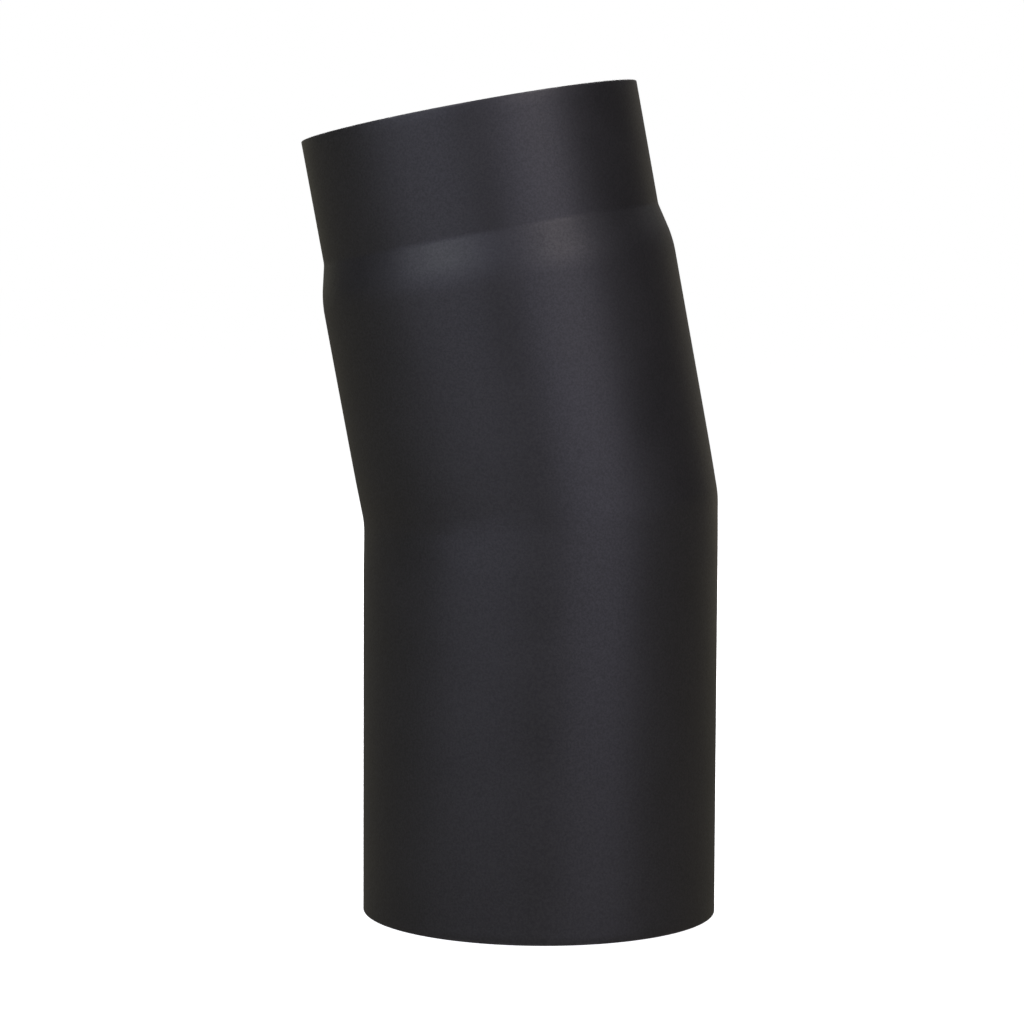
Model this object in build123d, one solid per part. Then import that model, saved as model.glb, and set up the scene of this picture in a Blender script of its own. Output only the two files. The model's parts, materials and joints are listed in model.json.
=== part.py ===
from build123d import *
import math
import os

# Flue elbow: two straight legs of rolled 2 mm steel tube, cut on one mitre and welded together.
# The lower leg's plain end is the socket. The upper leg's free end is swaged down to a spigot that
# slides into the next pipe's socket. Millimetres and degrees.
#
# Frame: the origin is the centre of the socket rim, +Z runs up the lower leg's axis, and the upper
# leg leans towards -X. The lengthways welds are on the +Y side.

# Driving dimensions
BORE_RADIUS = 60.0
WALL = 2.0
BEND = 10.6
LOWER_LENGTH = 142.0  # socket rim to mitre centre, along the axis
UPPER_LENGTH = 140.0  # mitre centre to spigot rim, along the axis
SPIGOT_LENGTH = 43.0  # spigot rim to the crease where the swage starts
FITTING_GAP = 1.0  # radial play of a spigot in a socket
SWAGE_SLOPE = 13.4  # the swage's cone, measured from the axis
SWAGE_BEND_RADIUS = 40.0  # outside radius where the tube turns into the swage
CREASE_RADIUS = 8.0  # outside radius where the swage turns into the spigot
RIM_ROUNDING = 0.3

# Welds
GROOVE = 1.5  # gap between the two legs that the mitre weld fills
MITRE_CAP_WIDTH = 6.0
SEAM_GROOVE = 1.2  # gap that each lengthways weld fills
SEAM_CAP_WIDTH = 4.0
SEAM_CAP_END = 1.0  # the cap is ground away this far from a rim
CAP_HEIGHT = 0.1  # what is left of the cap after grinding
ROOT_RECESS = 0.2  # the mitre weld's root stops this far short of the bore

TUBE_RADIUS = BORE_RADIUS + WALL
SPIGOT_RADIUS = BORE_RADIUS - FITTING_GAP
OVERRUN = 20.0  # how far a tube runs past the mitre before it is cut

MITRE_NORMAL = (-math.sin(math.radians(BEND / 2)), 0, math.cos(math.radians(BEND / 2)))
MITRE = Plane(origin=(0, 0, LOWER_LENGTH), x_dir=(MITRE_NORMAL[2], 0, -MITRE_NORMAL[0]), z_dir=MITRE_NORMAL)
UPPER_PLACE = Location((0, 0, LOWER_LENGTH), (0, -BEND, 0))


def lower_tube(outer, inner):
    """A straight tube on the lower leg's axis, with a rounded socket rim, that runs past the mitre."""
    profile = Polyline(
        (inner, 0),
        (outer, 0),
        (outer, LOWER_LENGTH + OVERRUN),
        (inner, LOWER_LENGTH + OVERRUN),
        close=True,
    )
    face = make_face(profile)
    rim_corners = face.vertices().filter_by(lambda corner: corner.Y < RIM_ROUNDING)
    return revolve(Plane.XZ * fillet(rim_corners, RIM_ROUNDING), Axis.Z)


def swaged_line(inset):
    """The upper leg's outside line from below the mitre to the spigot rim, moved inwards by inset."""
    step = TUBE_RADIUS - SPIGOT_RADIUS
    corner_shift = inset * math.tan(math.radians(SWAGE_SLOPE / 2))
    crease_height = UPPER_LENGTH - SPIGOT_LENGTH - corner_shift
    swage_height = crease_height - step / math.tan(math.radians(SWAGE_SLOPE))
    return FilletPolyline(
        (TUBE_RADIUS - inset, -OVERRUN),
        (TUBE_RADIUS - inset, swage_height),
        (SPIGOT_RADIUS - inset, crease_height),
        (SPIGOT_RADIUS - inset, UPPER_LENGTH),
        radius=[SWAGE_BEND_RADIUS - inset, CREASE_RADIUS + inset],
    )


def upper_tube(outer_inset, inner_inset):
    """A swaged tube along +Z with the mitre centre at its origin and a rounded spigot rim."""
    outside = swaged_line(outer_inset)
    inside = swaged_line(inner_inset)
    ends = [Line(outside @ end, inside @ end) for end in (0, 1)]
    face = make_face([*outside.edges(), *inside.edges(), *ends])
    rim_corners = face.vertices().filter_by(lambda corner: corner.Y > UPPER_LENGTH - RIM_ROUNDING)
    return revolve(Plane.XZ * fillet(rim_corners, RIM_ROUNDING), Axis.Z)


def below_mitre(solid, distance):
    """What of a solid lies under the mitre, shortened by distance."""
    return split(solid, bisect_by=MITRE.offset(-distance), keep=Keep.BOTTOM)


def above_mitre(solid, distance):
    """What of a solid lies over the mitre, shortened by distance."""
    return split(solid, bisect_by=MITRE.offset(distance), keep=Keep.TOP)


def elbow_band(outer, inner, half_width):
    """The part of a plain mitred elbow shell that lies within half_width of the mitre."""
    length = 2 * (LOWER_LENGTH + OVERRUN)
    shell = Cylinder(outer, length) - Cylinder(inner, length)
    lower = split(below_mitre(shell, 0), bisect_by=MITRE.offset(-half_width), keep=Keep.TOP)
    upper = split(above_mitre(UPPER_PLACE * shell, 0), bisect_by=MITRE.offset(half_width), keep=Keep.BOTTOM)
    return lower + upper


def seam_strip(width, low, high):
    """A block over the +Y wall, as wide as a lengthways weld, between two heights along +Z."""
    block = Box(width, TUBE_RADIUS, high - low, align=(Align.CENTER, Align.MIN, Align.MIN))
    return Pos(0, TUBE_RADIUS / 2, low) * block


def seam_weld(tube, capped_tube, low, high, cap_low, cap_high):
    """The filled groove along the +Y side of a tube, with its low ground cap."""
    fill = tube & seam_strip(SEAM_GROOVE, low, high)
    cap = (capped_tube & seam_strip(SEAM_CAP_WIDTH, cap_low, cap_high)) - tube
    return fill + cap


def write(node, solid):
    """One STEP file per node, each holding one solid."""
    solids = solid.solids()
    assert len(solids) == 1, f"{node} has {len(solids)} solids"
    solids[0].label = node
    export_step(solids[0], f"parts/{node}.step")


whole_lower = below_mitre(lower_tube(TUBE_RADIUS, BORE_RADIUS), GROOVE / 2)
straight_upper = upper_tube(0, WALL)
whole_upper = above_mitre(UPPER_PLACE * straight_upper, GROOVE / 2)

mitre_weld = elbow_band(TUBE_RADIUS + CAP_HEIGHT, BORE_RADIUS + ROOT_RECESS, MITRE_CAP_WIDTH / 2)
mitre_weld = mitre_weld - whole_lower - whole_upper

lower_top = LOWER_LENGTH + OVERRUN
lower_seam = seam_weld(
    lower_tube(TUBE_RADIUS, BORE_RADIUS),
    lower_tube(TUBE_RADIUS + CAP_HEIGHT, BORE_RADIUS),
    0,
    lower_top,
    SEAM_CAP_END,
    lower_top,
)
lower_seam_weld = below_mitre(lower_seam, GROOVE / 2) - mitre_weld
lower_leg = whole_lower - seam_strip(SEAM_GROOVE, 0, lower_top)

upper_seam = seam_weld(
    straight_upper,
    upper_tube(-CAP_HEIGHT, WALL),
    -OVERRUN,
    UPPER_LENGTH,
    -OVERRUN,
    UPPER_LENGTH - SEAM_CAP_END,
)
upper_seam_weld = above_mitre(UPPER_PLACE * upper_seam, GROOVE / 2) - mitre_weld
upper_leg = whole_upper - UPPER_PLACE * seam_strip(SEAM_GROOVE, -OVERRUN, UPPER_LENGTH)

os.makedirs("parts", exist_ok=True)
write("lower_leg", lower_leg)
write("upper_leg", upper_leg)
write("mitre_weld", mitre_weld)
write("lower_leg_seam_weld", lower_seam_weld)
write("upper_leg_seam_weld", upper_seam_weld)
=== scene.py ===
import json
import math

import bmesh
import bpy
import numpy as np
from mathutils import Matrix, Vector, noise


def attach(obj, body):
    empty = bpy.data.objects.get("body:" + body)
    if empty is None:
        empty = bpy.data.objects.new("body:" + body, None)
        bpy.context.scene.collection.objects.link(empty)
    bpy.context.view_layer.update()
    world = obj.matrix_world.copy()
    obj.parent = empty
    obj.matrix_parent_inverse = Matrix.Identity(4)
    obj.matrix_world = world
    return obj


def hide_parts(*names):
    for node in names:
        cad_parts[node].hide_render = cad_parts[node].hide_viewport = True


# The looks of the flue elbow: two legs of rolled steel tube, welded on a mitre and painted matt black.
# Metres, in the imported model's frame: the socket rim's centre is the origin, +Z runs up the lower leg,
# and the upper leg leans towards -X.

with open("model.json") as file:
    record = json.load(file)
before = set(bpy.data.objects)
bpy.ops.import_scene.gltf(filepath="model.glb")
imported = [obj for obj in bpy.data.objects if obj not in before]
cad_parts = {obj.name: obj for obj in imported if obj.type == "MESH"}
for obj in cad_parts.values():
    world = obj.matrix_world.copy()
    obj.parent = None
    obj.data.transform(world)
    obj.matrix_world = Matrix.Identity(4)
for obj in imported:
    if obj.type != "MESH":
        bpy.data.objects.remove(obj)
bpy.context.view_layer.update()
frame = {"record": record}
mounts = {mount["name"]: mount for mount in frame["record"]["mounts"]}

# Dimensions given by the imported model
BORE = mounts["flue_socket"]["dims"]["r_mm"] / 1000
SPIGOT = mounts["flue_spigot"]["dims"]["r_mm"] / 1000
SPIGOT_RIM = np.array(mounts["flue_spigot"]["pos_m"])
UPPER_AXIS = np.array(mounts["flue_spigot"]["axis"])
BEND = math.atan2(-UPPER_AXIS[0], UPPER_AXIS[2])
UPPER_LENGTH = -SPIGOT_RIM[0] / math.sin(BEND)
LOWER_LENGTH = SPIGOT_RIM[2] - UPPER_LENGTH * math.cos(BEND)
MITRE_CENTRE = np.array((0, 0, LOWER_LENGTH))
MITRE_NORMAL = np.array((-math.sin(BEND / 2), 0, math.cos(BEND / 2)))
MITRE_SLANT = math.tan(BEND / 2)

# The walls' other dimensions, the same as the CAD model's
WALL = 0.002
TUBE = BORE + WALL
SPIGOT_LENGTH = 0.043
SWAGE_SLOPE = math.radians(13.4)
SWAGE_BEND_RADIUS = 0.040
CREASE_RADIUS = 0.008
RIM_ROUNDING = 0.0003

# The two sides of a wall. Values given in pairs for the sides are (outside, inside).
OUTSIDE = 0
INSIDE = 1

# Welds: the fused metal's half widths, and how its faces stand off the walls'
MITRE_HALVES = (0.003, 0.0016)
SEAM_HALVES = (0.002, 0.0013)
SEAM_ANGLE = math.pi / 2
SEAM_CROWN = 0.00025
GROUND_LENGTH = 0.012
ROOT_RECESS = 0.0001
ROOT_START = 0.001
ROOT_FADE = 0.002
RIPPLE_PITCH = 0.0012
RIPPLE_HEIGHT = 0.00003
RIPPLE_BOW = 0.0009

# How far the rolled and welded sheet strays from a true cylinder
OUT_OF_ROUND = 0.00005
# Waves round the tube: how many, their strength, their phase, and how they turn per metre along it
ROLLING_WAVES = ((2, 1.0, 0.7, 0), (3, 0.3, 0, -45), (5, 0.2, -math.pi / 2, 70))
MITRE_DRAW_IN = 0.00018
DRAW_IN_REACH = 0.012
GRINDING_DIP = 0.00004
DIPS_PER_RADIUS = 7
DIP_LENGTH = 0.006

# Mesh steps
AROUND = 256
LOWER_STEPS = 74
UPPER_STEPS = 44
SPIGOT_STEPS = 10
CONE_POINTS = 5
ARC_STEPS = 8
RIM_STEPS = 4
MITRE_STEPS = 12
SEAM_STEPS = 8
SEAM_REFINEMENT = 6
GATHERING = 1.5
SHARP_ANGLE = math.radians(32)

# The values that most of a noise lies between
NOISE_RANGE = (0.3, 0.7)

# Paint. A pair of roughnesses runs from the glossier patches to the duller ones.
PAINT_DARK = (0.018, 0.0175, 0.017, 1)
PAINT_LIGHT = (0.042, 0.041, 0.040, 1)
PAINT_ROUGHNESS = (0.441, 0.491)
PAINT_PATCHES = 0.03
SPECKLE_SIZE = 0.0007
SPECKLE_SHARE = 0.6
SPECKLE_GLOSS = 0.078
SPECKLE_DEPTH = 0.00002
PEEL_SIZE = 0.0022
PEEL_DEPTH = 0.00003
WORN_METAL = (0.11, 0.105, 0.10, 1)
WORN_REACH = 0.0009
WORN_GLOSS = 0.08
SCUFF_SIZE = 0.012
SCUFF_RANGE = (0.35, 0.75)
STREAK_REACH = 0.011
STREAKS_PER_METRE = (90, 90, 1600)
STREAK_DEPTH_ON_WALL = 0.00001
STREAK_DEPTH_ON_WELD = 0.00003

# Bare steel inside
STEEL_DARK = (0.11, 0.11, 0.118, 1)
STEEL_LIGHT = (0.25, 0.247, 0.25, 1)
STEEL_METALNESS = 0.7
STEEL_ROUGHNESS = (0.38, 0.52)
STEEL_PATCHES = 0.018
STEEL_PATCH_DEPTH = 0.00005
STEEL_GRAIN_SIZE = 0.0012
STEEL_GRAIN_DEPTH = 0.00002
OVERSPRAY_REACH = 0.030
OVERSPRAY_GRAIN = 0.5
OVERSPRAY_RANGE = (0.45, 1.0)

# Heat tints on the steel: straw at the edges of the heated bands, and blue in their middles
STRAW = (0.28, 0.22, 0.14, 1)
HEAT_BLUE = (0.08, 0.10, 0.17, 1)
MITRE_HEAT_REACH = 0.020
SEAM_HEAT_REACH = 0.014
HEAT_UNEVENNESS = 0.3
STRAW_RANGE = (0.05, 0.6)
BLUE_RANGE = (0.55, 1.0)
WALL_TINT = 0.7
ROOT_TINT = 1.0

# Camera
CAMERA_PLACE = (-0.01009, -1.05259, 0.22206)
CAMERA_TURN = (85.56549, -0.27360, 0.02122)
CAMERA_LENS = 105.9
SENSOR_WIDTH = 36

# Floor and surroundings
FLOOR_HALF = 40
FLOOR_COLOUR = (0.8, 0.8, 0.8, 1)
FLOOR_ROUGHNESS = 0.9
FLOOR_GLOW = (0.85, 1.0)
FLOOR_GLOW_REACH = (0.3, 1.2)
FLOOR_LIGHT = (0.136, 0.126, 0.095, 1)
HORIZON_BLUR = 0.05
WHITE = (1, 1, 1, 1)
BLACK = (0, 0, 0, 1)

# Softboxes, as name: azimuth, elevation, (width, height), power, colour. Azimuth 0 is in front of the
# elbow and 90 is on its +X side. All of them face the elbow's middle from the same distance.
SOFTBOX_TARGET = (0, 0, 0.15)
SOFTBOX_DISTANCE = 1.5
SOFTBOXES = {
    "left_key": (-38, 29, (1.67, 2.07), 11.5, (0.72, 0.72, 1.0)),
    "left_spot": (-44, 33, (0.8, 0.53), 3.5, (0.93, 1.0, 0.95)),
    "right_key": (36, 17, (1.28, 1.68), 8.1, (0.75, 0.74, 1.0)),
    "right_spot": (40, 30, (0.61, 0.5), 2.8, (1.0, 0.89, 0.82)),
    "back": (182, 43, (1.75, 0.6), 26.5, (1.0, 1.0, 1.0)),
    "overhead": (180, 78, (1.0, 0.8), 7.0, (1.0, 1.0, 1.0)),
    "left_rear": (-156, 13, (1.45, 0.6), 0.47, (1.0, 0.96, 0.70)),
    "right_rear": (150, 5, (1.0, 0.65), 0.36, (1.0, 0.90, 0.70)),
}


# ---------------------------------------------------------------- the walls' sections

def arc(centre, radius, start, stop, steps):
    angles = np.linspace(start, stop, steps + 1)
    return np.column_stack((centre[0] + radius * np.cos(angles), centre[1] + radius * np.sin(angles)))


def straight(radius, start, stop, steps, gathering=1.0):
    """Points up a straight wall, gathered towards its start if asked."""
    heights = start + (stop - start) * np.linspace(0, 1, steps + 1) ** gathering
    return np.column_stack((np.full(steps + 1, radius), heights))


def joined(*lines):
    return np.vstack([lines[0]] + [line[1:] for line in lines[1:]])


def rim_line(radius, length, side):
    """The quarter round from a wall onto the flat of its rim."""
    height = length - RIM_ROUNDING
    if side == OUTSIDE:
        return arc((radius - RIM_ROUNDING, height), RIM_ROUNDING, 0, math.pi / 2, RIM_STEPS)
    return arc((radius + RIM_ROUNDING, height), RIM_ROUNDING, math.pi, math.pi / 2, RIM_STEPS)


def lower_line(side, start, finer=1):
    """The lower leg's wall as (radius, distance from the mitre)."""
    radius = TUBE - side * WALL
    return joined(
        straight(radius, start, LOWER_LENGTH - RIM_ROUNDING, finer * LOWER_STEPS, GATHERING),
        rim_line(radius, LOWER_LENGTH, side),
    )


def upper_line(side, start, finer=1):
    """The upper leg's wall with its swage, as (radius, distance from the mitre)."""
    inset = side * WALL
    crease = UPPER_LENGTH - SPIGOT_LENGTH - inset * math.tan(SWAGE_SLOPE / 2)
    shoulder = crease - (TUBE - SPIGOT) / math.tan(SWAGE_SLOPE)
    bend_radius = SWAGE_BEND_RADIUS - inset
    bend_start = shoulder - bend_radius * math.tan(SWAGE_SLOPE / 2)
    bend = arc((TUBE - inset - bend_radius, bend_start), bend_radius, 0, SWAGE_SLOPE, finer * ARC_STEPS)
    crease_radius = CREASE_RADIUS + inset
    crease_end = crease + crease_radius * math.tan(SWAGE_SLOPE / 2)
    crease_centre = (SPIGOT - inset + crease_radius, crease_end)
    turn = arc(crease_centre, crease_radius, math.pi + SWAGE_SLOPE, math.pi, finer * ARC_STEPS)
    cone = np.linspace(bend[-1], turn[0], finer * CONE_POINTS)
    return joined(
        straight(TUBE - inset, start, bend_start, finer * UPPER_STEPS, GATHERING),
        bend,
        cone,
        turn,
        straight(SPIGOT - inset, crease_end, UPPER_LENGTH - RIM_ROUNDING, finer * SPIGOT_STEPS),
        rim_line(SPIGOT - inset, UPPER_LENGTH, side),
    )


# Each leg: its section, its directions along its axis away from the mitre and across it towards its long
# side, and the sign of its distances from the mitre where one scale runs through both legs
LEGS = {
    "lower": {
        "line": lower_line,
        "along": np.array((0, 0, -1)),
        "across": np.array((1, 0, 0)),
        "sign": -1,
    },
    "upper": {
        "line": upper_line,
        "along": UPPER_AXIS,
        "across": np.array((math.cos(BEND), 0, math.sin(BEND))),
        "sign": 1,
    },
}


# ---------------------------------------------------------------- points on the walls

def stray(angles, heights):
    """How far a wall stands off its true radius. heights are signed distances from the mitre."""
    rolled = 0
    for waves, strength, phase, turn in ROLLING_WAVES:
        rolled = rolled + strength * np.cos(waves * angles + phase + turn * heights)
    near_weld = np.exp(-((heights / DRAW_IN_REACH) ** 2))
    dips = np.vectorize(grinding_dip)(angles, heights)
    return OUT_OF_ROUND * rolled + near_weld * (GRINDING_DIP * dips - MITRE_DRAW_IN)


def grinding_dip(angle, height):
    """A smooth value from -1 to 1, with dips about a disc's contact apart."""
    around = (DIPS_PER_RADIUS * math.cos(angle), DIPS_PER_RADIUS * math.sin(angle))
    return noise.noise(Vector((*around, height / DIP_LENGTH)))


def on_leg(leg, line, angles, start):
    """A section line carried round a leg, as points [around][along].

    It starts parallel to the mitre, and is level from the end of its first straight wall.
    """
    radius = line[None, :, 0]
    level = line[None, :, 1]
    slant_end = line[line[:, 0] == line[0, 0], 1].max()
    fade = np.clip((slant_end - level) / (slant_end - start), 0, 1)
    turn = angles[:, None]
    height = level - radius * np.cos(turn) * MITRE_SLANT * fade
    radius = radius + stray(turn, LEGS[leg]["sign"] * level)
    return leg_points(leg, radius, turn, height)


def leg_points(leg, radius, angles, height):
    """Points at these radii and angles round a leg's axis, and at these distances along it."""
    x = radius * np.cos(angles)
    y = radius * np.sin(angles)
    sideways = np.array((0, 1, 0))
    return (
        MITRE_CENTRE
        + x[..., None] * LEGS[leg]["across"]
        + y[..., None] * sideways
        + height[..., None] * LEGS[leg]["along"]
    )


# ---------------------------------------------------------------- pieces

def shell(name, outer, inner, materials, closed, lined):
    """A closed wall between outer and inner points, [around][along] and the same size.

    The first lined steps of its inside take the second material.
    """
    around, along = outer.shape[:2]
    loop = 2 * along
    points = np.concatenate((outer, inner[:, ::-1]), axis=1).reshape(-1, 3)
    faces = []
    linings = []
    for i in range(around if closed else around - 1):
        here = i * loop
        there = (i + 1) % around * loop
        for k in range(loop):
            n = (k + 1) % loop
            faces.append((here + k, here + n, there + n, there + k))
            linings.append(int(0 < loop - 1 - k <= lined))
    if not closed:
        for row in (0, (around - 1) * loop):
            for k in range(along - 1):
                faces.append((row + k, row + k + 1, row + loop - 2 - k, row + loop - 1 - k))
                linings.append(0)
    mesh = bpy.data.meshes.new(name)
    mesh.from_pydata(points.tolist(), [], faces)
    mesh.polygons.foreach_set("material_index", linings)
    mesh.polygons.foreach_set("use_smooth", [True] * len(faces))
    face_outwards(mesh)
    mesh.set_sharp_from_angle(angle=SHARP_ANGLE)
    for material in materials:
        mesh.materials.append(material)
    piece = bpy.data.objects.new(name, mesh)
    bpy.context.scene.collection.objects.link(piece)
    return piece


def face_outwards(mesh):
    work = bmesh.new()
    work.from_mesh(mesh)
    bmesh.ops.recalc_face_normals(work, faces=work.faces)
    work.to_mesh(mesh)
    work.free()


def leg_shell(leg, materials):
    """A leg's rolled wall, open along its lengthways weld and bevelled at the mitre."""
    grids = []
    for side in (OUTSIDE, INSIDE):
        start = MITRE_HALVES[side]
        line = LEGS[leg]["line"](side, start)
        half = SEAM_HALVES[side] / (TUBE - side * WALL)
        angles = np.linspace(SEAM_ANGLE + half, SEAM_ANGLE + 2 * math.pi - half, AROUND + 1)
        grids.append(on_leg(leg, line, angles, start))
    lined = len(line) - 1 - RIM_STEPS
    return shell(leg + "_leg_wall", *grids, materials, closed=False, lined=lined)


def seam_bead(leg, materials):
    """The lengthways weld: a low rippled bead, ground flush by the mitre and on the spigot."""
    grids = []
    across = np.linspace(-1, 1, SEAM_STEPS + 1)
    for side in (OUTSIDE, INSIDE):
        start = MITRE_HALVES[side]
        line = LEGS[leg]["line"](side, start, SEAM_REFINEMENT)
        angles = SEAM_ANGLE - across * SEAM_HALVES[side] / (TUBE - side * WALL)
        points = on_leg(leg, line, angles, start)
        rise = bead_height(leg, line, across) if side == OUTSIDE else root_depth(line, across)
        grids.append(points + rise[..., None] * np.array((0, 1, 0)))
    lined = len(line) - 1 - RIM_STEPS
    return shell(leg + "_seam_bead", *grids, materials, closed=False, lined=lined)


def ripples(line, across):
    """Curved ripples along a bead, from -1 to 1. across runs from -1 to 1 over its width."""
    bowed = line[None, :, 1] + RIPPLE_BOW * across[:, None] ** 2
    return np.sin(2 * math.pi * bowed / RIPPLE_PITCH)


def bead_height(leg, line, across):
    """How far a lengthways bead stands proud of the wall."""
    heights = line[None, :, 1]
    last = LOWER_LENGTH if leg == "lower" else UPPER_LENGTH - SPIGOT_LENGTH
    from_mitre = np.clip((heights - GROUND_LENGTH) / GROUND_LENGTH, 0, 1)
    from_end = np.clip((last - heights) / GROUND_LENGTH, 0, 1)
    crown = 1 - across[:, None] ** 2
    return crown * from_mitre * from_end * (SEAM_CROWN + RIPPLE_HEIGHT * ripples(line, across))


def root_depth(line, across):
    """How far a lengthways weld's root lies back from the bore."""
    heights = line[None, :, 1]
    crown = 1 - across[:, None] ** 2
    from_rim = np.clip((line[-1, 1] - heights - ROOT_START) / ROOT_FADE, 0, 1)
    return crown * from_rim * (ROOT_RECESS + RIPPLE_HEIGHT * ripples(line, across))


def mitre_ring(materials):
    """The weld round the mitre, ground to a soft blend between the legs, with a rippled root inside."""
    angles = np.linspace(0, 2 * math.pi, AROUND, endpoint=False)[:, None]
    steps = np.linspace(0, 1, MITRE_STEPS + 1)[None, :]
    outward = np.stack((np.cos(angles), np.sin(angles), np.zeros_like(angles)), axis=-1)
    grids = []
    for side in (OUTSIDE, INSIDE):
        radius = TUBE - side * WALL
        half = MITRE_HALVES[side]
        low = ring_edge("lower", radius, angles, half)
        high = ring_edge("upper", radius, angles, half)
        leave = -LEGS["lower"]["along"] * 2 * half
        arrive = LEGS["upper"]["along"] * 2 * half
        blend = smooth_path(low, leave, high, arrive, steps[..., None])
        low_stray = stray(angles, np.full_like(steps, -half))
        high_stray = stray(angles, np.full_like(steps, half))
        swell = stray(angles, (2 * steps - 1) * half) - (1 - steps) * low_stray - steps * high_stray
        if side == INSIDE:
            turning = np.sin(angles * round(2 * math.pi * BORE / RIPPLE_PITCH))
            swell = swell + (1 - (2 * steps - 1) ** 2) * (ROOT_RECESS + RIPPLE_HEIGHT * turning)
        grids.append(blend + swell[..., None] * outward)
    return shell("mitre_weld_ring", *grids, materials, closed=True, lined=MITRE_STEPS)


def ring_edge(leg, radius, angles, half):
    """Where a leg's wall stops, half short of the mitre."""
    height = half - radius * np.cos(angles) * MITRE_SLANT
    signed = LEGS[leg]["sign"] * np.full((1, 1), half)
    return leg_points(leg, radius + stray(angles, signed), angles, height)


def smooth_path(first, leave, last, arrive, s):
    """Points from first to last as s goes from 0 to 1, starting along leave and ending along arrive."""
    return (
        (1 + 2 * s) * (1 - s) ** 2 * first
        + s * (1 - s) ** 2 * leave
        + s**2 * (3 - 2 * s) * last
        + s**2 * (s - 1) * arrive
    )


# ---------------------------------------------------------------- material nodes

def add(tree, kind, values=(), **settings):
    """A new shader node. values maps its inputs to constants or to other nodes' outputs."""
    made = tree.nodes.new("ShaderNode" + kind)
    for name, setting in settings.items():
        setattr(made, name, setting)
    for key, value in dict(values).items():
        if isinstance(value, bpy.types.NodeSocket):
            tree.links.new(value, made.inputs[key])
        else:
            made.inputs[key].default_value = value
    return made


def calc(tree, operation, *numbers):
    """The result of a Math node on up to three numbers or outputs."""
    return add(tree, "Math", enumerate(numbers), operation=operation).outputs[0]


def ramp(tree, value, start, stop, low=0.0, high=1.0):
    """A smooth step from low, where value is start, to high, where it is stop."""
    steps = {"Value": value, "From Min": start, "From Max": stop, "To Min": low, "To Max": high}
    return add(tree, "MapRange", steps, interpolation_type="SMOOTHSTEP").outputs[0]


def clouds(tree, place, size, detail=2.0, roughness=0.5):
    """Noise with patches about size metres across, from 0 to 1."""
    values = {"Vector": place, "Scale": 1 / size, "Detail": detail, "Roughness": roughness}
    return add(tree, "TexNoise", values).outputs[0]


def tint(tree, amount, first, second):
    """A colour from first, where amount is 0, to second, where it is 1."""
    return add(tree, "Mix", {0: amount, 6: first, 7: second}, data_type="RGBA").outputs[2]


def height_along(tree, place, origin, axis):
    """The distance along axis from origin."""
    offset = add(tree, "VectorMath", {0: place, 1: tuple(origin)}, operation="SUBTRACT").outputs[0]
    return add(tree, "VectorMath", {0: offset, 1: tuple(axis)}, operation="DOT_PRODUCT").outputs["Value"]


def rim_nearness(tree, place, reach):
    """1 at either rim, falling to 0 that far from it."""
    socket = ramp(tree, height_along(tree, place, (0, 0, 0), (0, 0, 1)), reach, 0)
    spigot = ramp(tree, height_along(tree, place, SPIGOT_RIM, UPPER_AXIS), -reach, 0)
    return calc(tree, "MAXIMUM", socket, spigot)


def mitre_nearness(tree, place, reach):
    """1 at the mitre weld, falling to 0 that far from it."""
    distance = calc(tree, "ABSOLUTE", height_along(tree, place, MITRE_CENTRE, MITRE_NORMAL))
    return ramp(tree, distance, reach, 0)


def seam_nearness(tree, place, reach):
    """1 along one band at the back, falling to 0 that far to its sides.

    The band leaves the socket rim at the lengthways weld and runs parallel to the upper leg, so it
    passes up to LOWER_LENGTH * sin(BEND) to the -X side of the welds.
    """
    sideways = calc(tree, "ABSOLUTE", height_along(tree, place, (0, BORE, 0), LEGS["upper"]["across"]))
    behind = ramp(tree, height_along(tree, place, (0, 0, 0), (0, 1, 0)), 0, BORE / 2)
    return calc(tree, "MULTIPLY", ramp(tree, sideways, reach, 0), behind)


def new_material(name):
    """An empty node material, its node tree, its shader, and coordinates in metres."""
    material = bpy.data.materials.new(name)
    material.use_nodes = True
    tree = material.node_tree
    place = add(tree, "TexCoord").outputs["Object"]
    return material, tree, tree.nodes["Principled BSDF"], place


def relief(tree, shader, *layers):
    """Bumps of (height from 0 to 1, depth in metres), one on another."""
    normal = None
    for height, depth in layers:
        values = {"Height": height, "Distance": depth}
        if normal:
            values["Normal"] = normal
        normal = add(tree, "Bump", values).outputs[0]
    tree.links.new(normal, shader.inputs["Normal"])


# ---------------------------------------------------------------- materials

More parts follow.
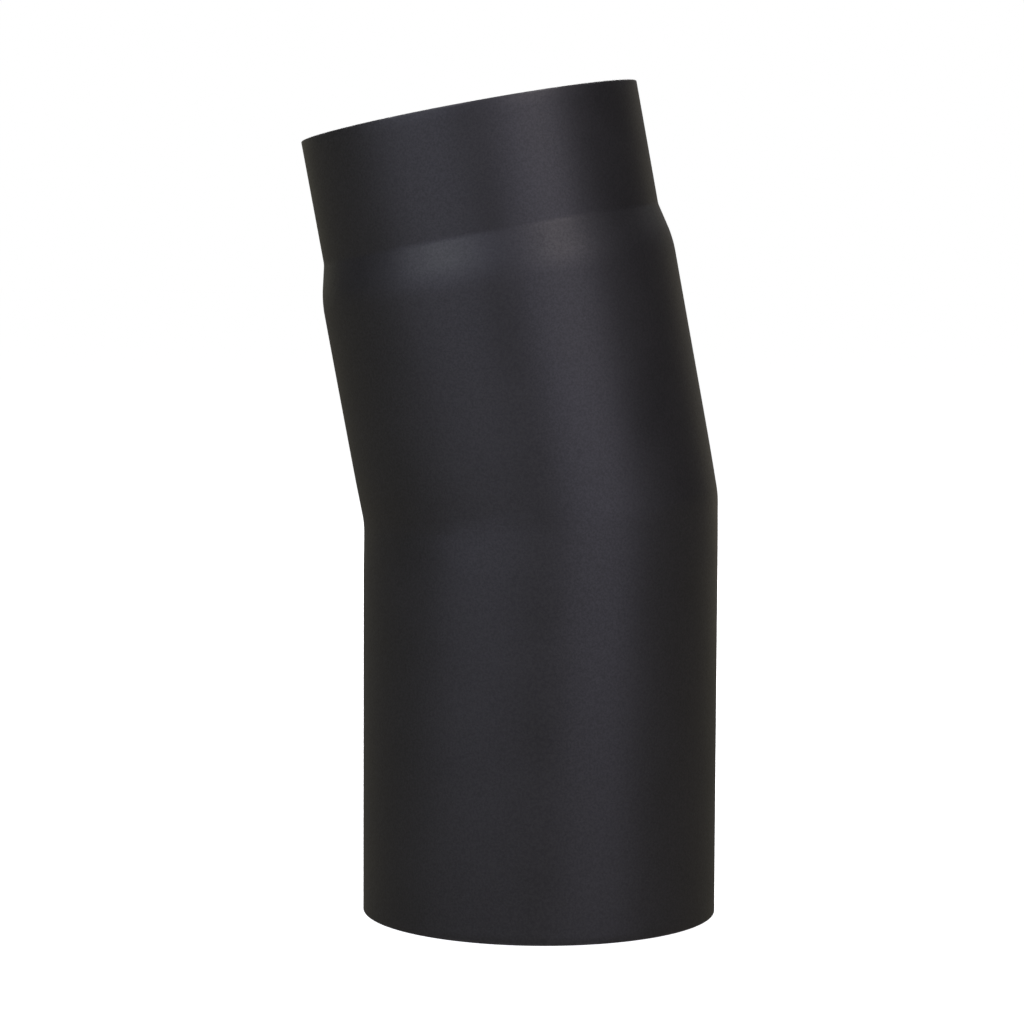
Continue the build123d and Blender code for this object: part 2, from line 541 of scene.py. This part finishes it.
def heat_paint(name, streak_depth):
    """Satin-matt black heat-resistant paint, rubbed thin on the rims.

    streak_depth is how deep the disc's streaks still show where the mitre was ground.
    """
    material, tree, shader, place = new_material(name)
    patches = clouds(tree, place, PAINT_PATCHES, detail=3)
    grain = clouds(tree, place, SPECKLE_SIZE, detail=3, roughness=0.6)
    peel = clouds(tree, place, PEEL_SIZE)
    speckle = ramp(tree, grain, *NOISE_RANGE)
    patch_share = calc(tree, "MULTIPLY", patches, 1 - SPECKLE_SHARE)
    lightness = calc(tree, "MULTIPLY_ADD", speckle, SPECKLE_SHARE, patch_share)
    paint = tint(tree, lightness, PAINT_DARK, PAINT_LIGHT)
    scuffs = ramp(tree, clouds(tree, place, SCUFF_SIZE, detail=5, roughness=0.6), *SCUFF_RANGE)
    worn = calc(tree, "MULTIPLY", rim_nearness(tree, place, WORN_REACH), scuffs)
    sheen = ramp(tree, patches, *NOISE_RANGE, *PAINT_ROUGHNESS)
    mottled = calc(tree, "MULTIPLY_ADD", speckle, -SPECKLE_GLOSS, sheen)
    roughness = calc(tree, "MULTIPLY_ADD", worn, -WORN_GLOSS, mottled)
    tree.links.new(tint(tree, worn, paint, WORN_METAL), shader.inputs["Base Color"])
    tree.links.new(roughness, shader.inputs["Roughness"])
    near_mitre = mitre_nearness(tree, place, STREAK_REACH)
    streaks = calc(tree, "MULTIPLY", grinding_streaks(tree, place), near_mitre)
    relief(tree, shader, (peel, PEEL_DEPTH), (grain, SPECKLE_DEPTH), (streaks, streak_depth))
    return material


def grinding_streaks(tree, place):
    """Fine streaks round the tube."""
    stretched = add(tree, "Mapping", {"Vector": place, "Scale": STREAKS_PER_METRE}).outputs[0]
    return add(tree, "TexNoise", {"Vector": stretched, "Scale": 1, "Detail": 3}).outputs[0]


def bare_steel(name, tint_strength):
    """Rolled steel inside the tubes, with paint blown in at both ends and heat tints."""
    material, tree, shader, place = new_material(name)
    patches = clouds(tree, place, STEEL_PATCHES, detail=4, roughness=0.6)
    grain = clouds(tree, place, STEEL_GRAIN_SIZE, detail=3, roughness=0.6)
    steel = tint(tree, patches, STEEL_DARK, STEEL_LIGHT)
    metal = heat_tinted(tree, place, steel, patches, tint_strength)
    mist = calc(tree, "MULTIPLY_ADD", grain, OVERSPRAY_GRAIN, rim_nearness(tree, place, OVERSPRAY_REACH))
    painted = ramp(tree, mist, *OVERSPRAY_RANGE)
    metalness = calc(tree, "MULTIPLY_ADD", painted, -STEEL_METALNESS, STEEL_METALNESS)
    tree.links.new(tint(tree, painted, metal, PAINT_LIGHT), shader.inputs["Base Color"])
    tree.links.new(metalness, shader.inputs["Metallic"])
    tree.links.new(ramp(tree, patches, *NOISE_RANGE, *STEEL_ROUGHNESS), shader.inputs["Roughness"])
    relief(tree, shader, (grain, STEEL_GRAIN_DEPTH), (patches, STEEL_PATCH_DEPTH))
    return material


def heat_tinted(tree, place, steel, patches, strength):
    """The steel's colour with its heated bands, made uneven by the patches."""
    near_mitre = mitre_nearness(tree, place, MITRE_HEAT_REACH)
    near_seam = seam_nearness(tree, place, SEAM_HEAT_REACH)
    heat = calc(tree, "SUBTRACT", calc(tree, "MAXIMUM", near_mitre, near_seam), HEAT_UNEVENNESS / 2)
    uneven = calc(tree, "MULTIPLY_ADD", patches, HEAT_UNEVENNESS, heat)
    straw = calc(tree, "MULTIPLY", ramp(tree, uneven, *STRAW_RANGE), strength)
    blue = calc(tree, "MULTIPLY", ramp(tree, uneven, *BLUE_RANGE), strength)
    return tint(tree, blue, tint(tree, straw, steel, STRAW), HEAT_BLUE)


# ---------------------------------------------------------------- camera, floor and light

def set_camera():
    data = bpy.data.cameras.new("camera")
    data.lens = CAMERA_LENS
    data.sensor_width = SENSOR_WIDTH
    camera = bpy.data.objects.new("camera", data)
    camera.location = CAMERA_PLACE
    camera.rotation_euler = [math.radians(angle) for angle in CAMERA_TURN]
    bpy.context.scene.collection.objects.link(camera)
    bpy.context.scene.camera = camera


def floor():
    """A plain near-white floor, brighter further out, that neither lights nor shades the elbow."""
    material, tree, shader, place = new_material("pale_floor")
    shader.inputs["Base Color"].default_value = FLOOR_COLOUR
    shader.inputs["Roughness"].default_value = FLOOR_ROUGHNESS
    shader.inputs["Emission Color"].default_value = WHITE
    from_middle = add(tree, "VectorMath", {0: place}, operation="LENGTH").outputs["Value"]
    glow = ramp(tree, from_middle, *FLOOR_GLOW_REACH, *FLOOR_GLOW)
    tree.links.new(glow, shader.inputs["Emission Strength"])
    corners = [(FLOOR_HALF * x, FLOOR_HALF * y, 0) for x, y in ((-1, -1), (1, -1), (1, 1), (-1, 1))]
    mesh = bpy.data.meshes.new("floor")
    mesh.from_pydata(corners, [], [(0, 1, 2, 3)])
    mesh.materials.append(material)
    plane = bpy.data.objects.new("floor", mesh)
    plane.visible_diffuse = False
    plane.visible_glossy = False
    plane.visible_shadow = False
    bpy.context.scene.collection.objects.link(plane)


def softbox(name, azimuth, elevation, size, power, colour):
    data = bpy.data.lights.new(name, "AREA")
    data.shape = "RECTANGLE"
    data.size, data.size_y = size
    data.energy = power
    data.color = colour
    light = bpy.data.objects.new(name, data)
    turn = math.radians(azimuth)
    tilt = math.radians(elevation)
    towards = Vector((math.sin(turn) * math.cos(tilt), -math.cos(turn) * math.cos(tilt), math.sin(tilt)))
    light.location = Vector(SOFTBOX_TARGET) + SOFTBOX_DISTANCE * towards
    light.rotation_euler = towards.to_track_quat("Z", "Y").to_euler()
    bpy.context.scene.collection.objects.link(light)


def surroundings():
    """White behind the elbow. The only light from round about is what the pale floor sends up."""
    world = bpy.data.worlds.new("studio")
    bpy.context.scene.world = world
    world.use_nodes = True
    tree = world.node_tree
    backdrop = tree.nodes["Background"]
    backdrop.inputs["Color"].default_value = WHITE
    direction = add(tree, "TexCoord").outputs["Generated"]
    height = add(tree, "SeparateXYZ", {0: direction}).outputs["Z"]
    below = ramp(tree, height, HORIZON_BLUR, -HORIZON_BLUR)
    glow = add(tree, "Background", {"Color": tint(tree, below, BLACK, FLOOR_LIGHT)})
    seen = add(tree, "LightPath").outputs["Is Camera Ray"]
    mixed = add(tree, "MixShader", {0: seen, 1: glow.outputs[0], 2: backdrop.outputs[0]}).outputs[0]
    tree.links.new(mixed, tree.nodes["World Output"].inputs["Surface"])


# ---------------------------------------------------------------- the scene

paint = heat_paint("black_heat_paint", STREAK_DEPTH_ON_WALL)
weld_paint = heat_paint("black_paint_on_weld", STREAK_DEPTH_ON_WELD)
bore_steel = bare_steel("bare_rolled_steel", WALL_TINT)
root_metal = bare_steel("bare_weld_root", ROOT_TINT)

made = [
    (leg_shell("lower", (paint, bore_steel)), "lower_leg", "black_paint"),
    (leg_shell("upper", (paint, bore_steel)), "upper_leg", "black_paint"),
    (seam_bead("lower", (weld_paint, root_metal)), "lower_leg_seam_weld", "painted_weld"),
    (seam_bead("upper", (weld_paint, root_metal)), "upper_leg_seam_weld", "painted_weld"),
    (mitre_ring((weld_paint, root_metal)), "mitre_weld", "painted_weld"),
]
for piece, node, finish in made:
    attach(piece, "root")
    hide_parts(node)

set_camera()
floor()
surroundings()
for name, setup in SOFTBOXES.items():
    softbox(name, *setup)
bpy.context.scene.view_settings.view_transform = "Standard"
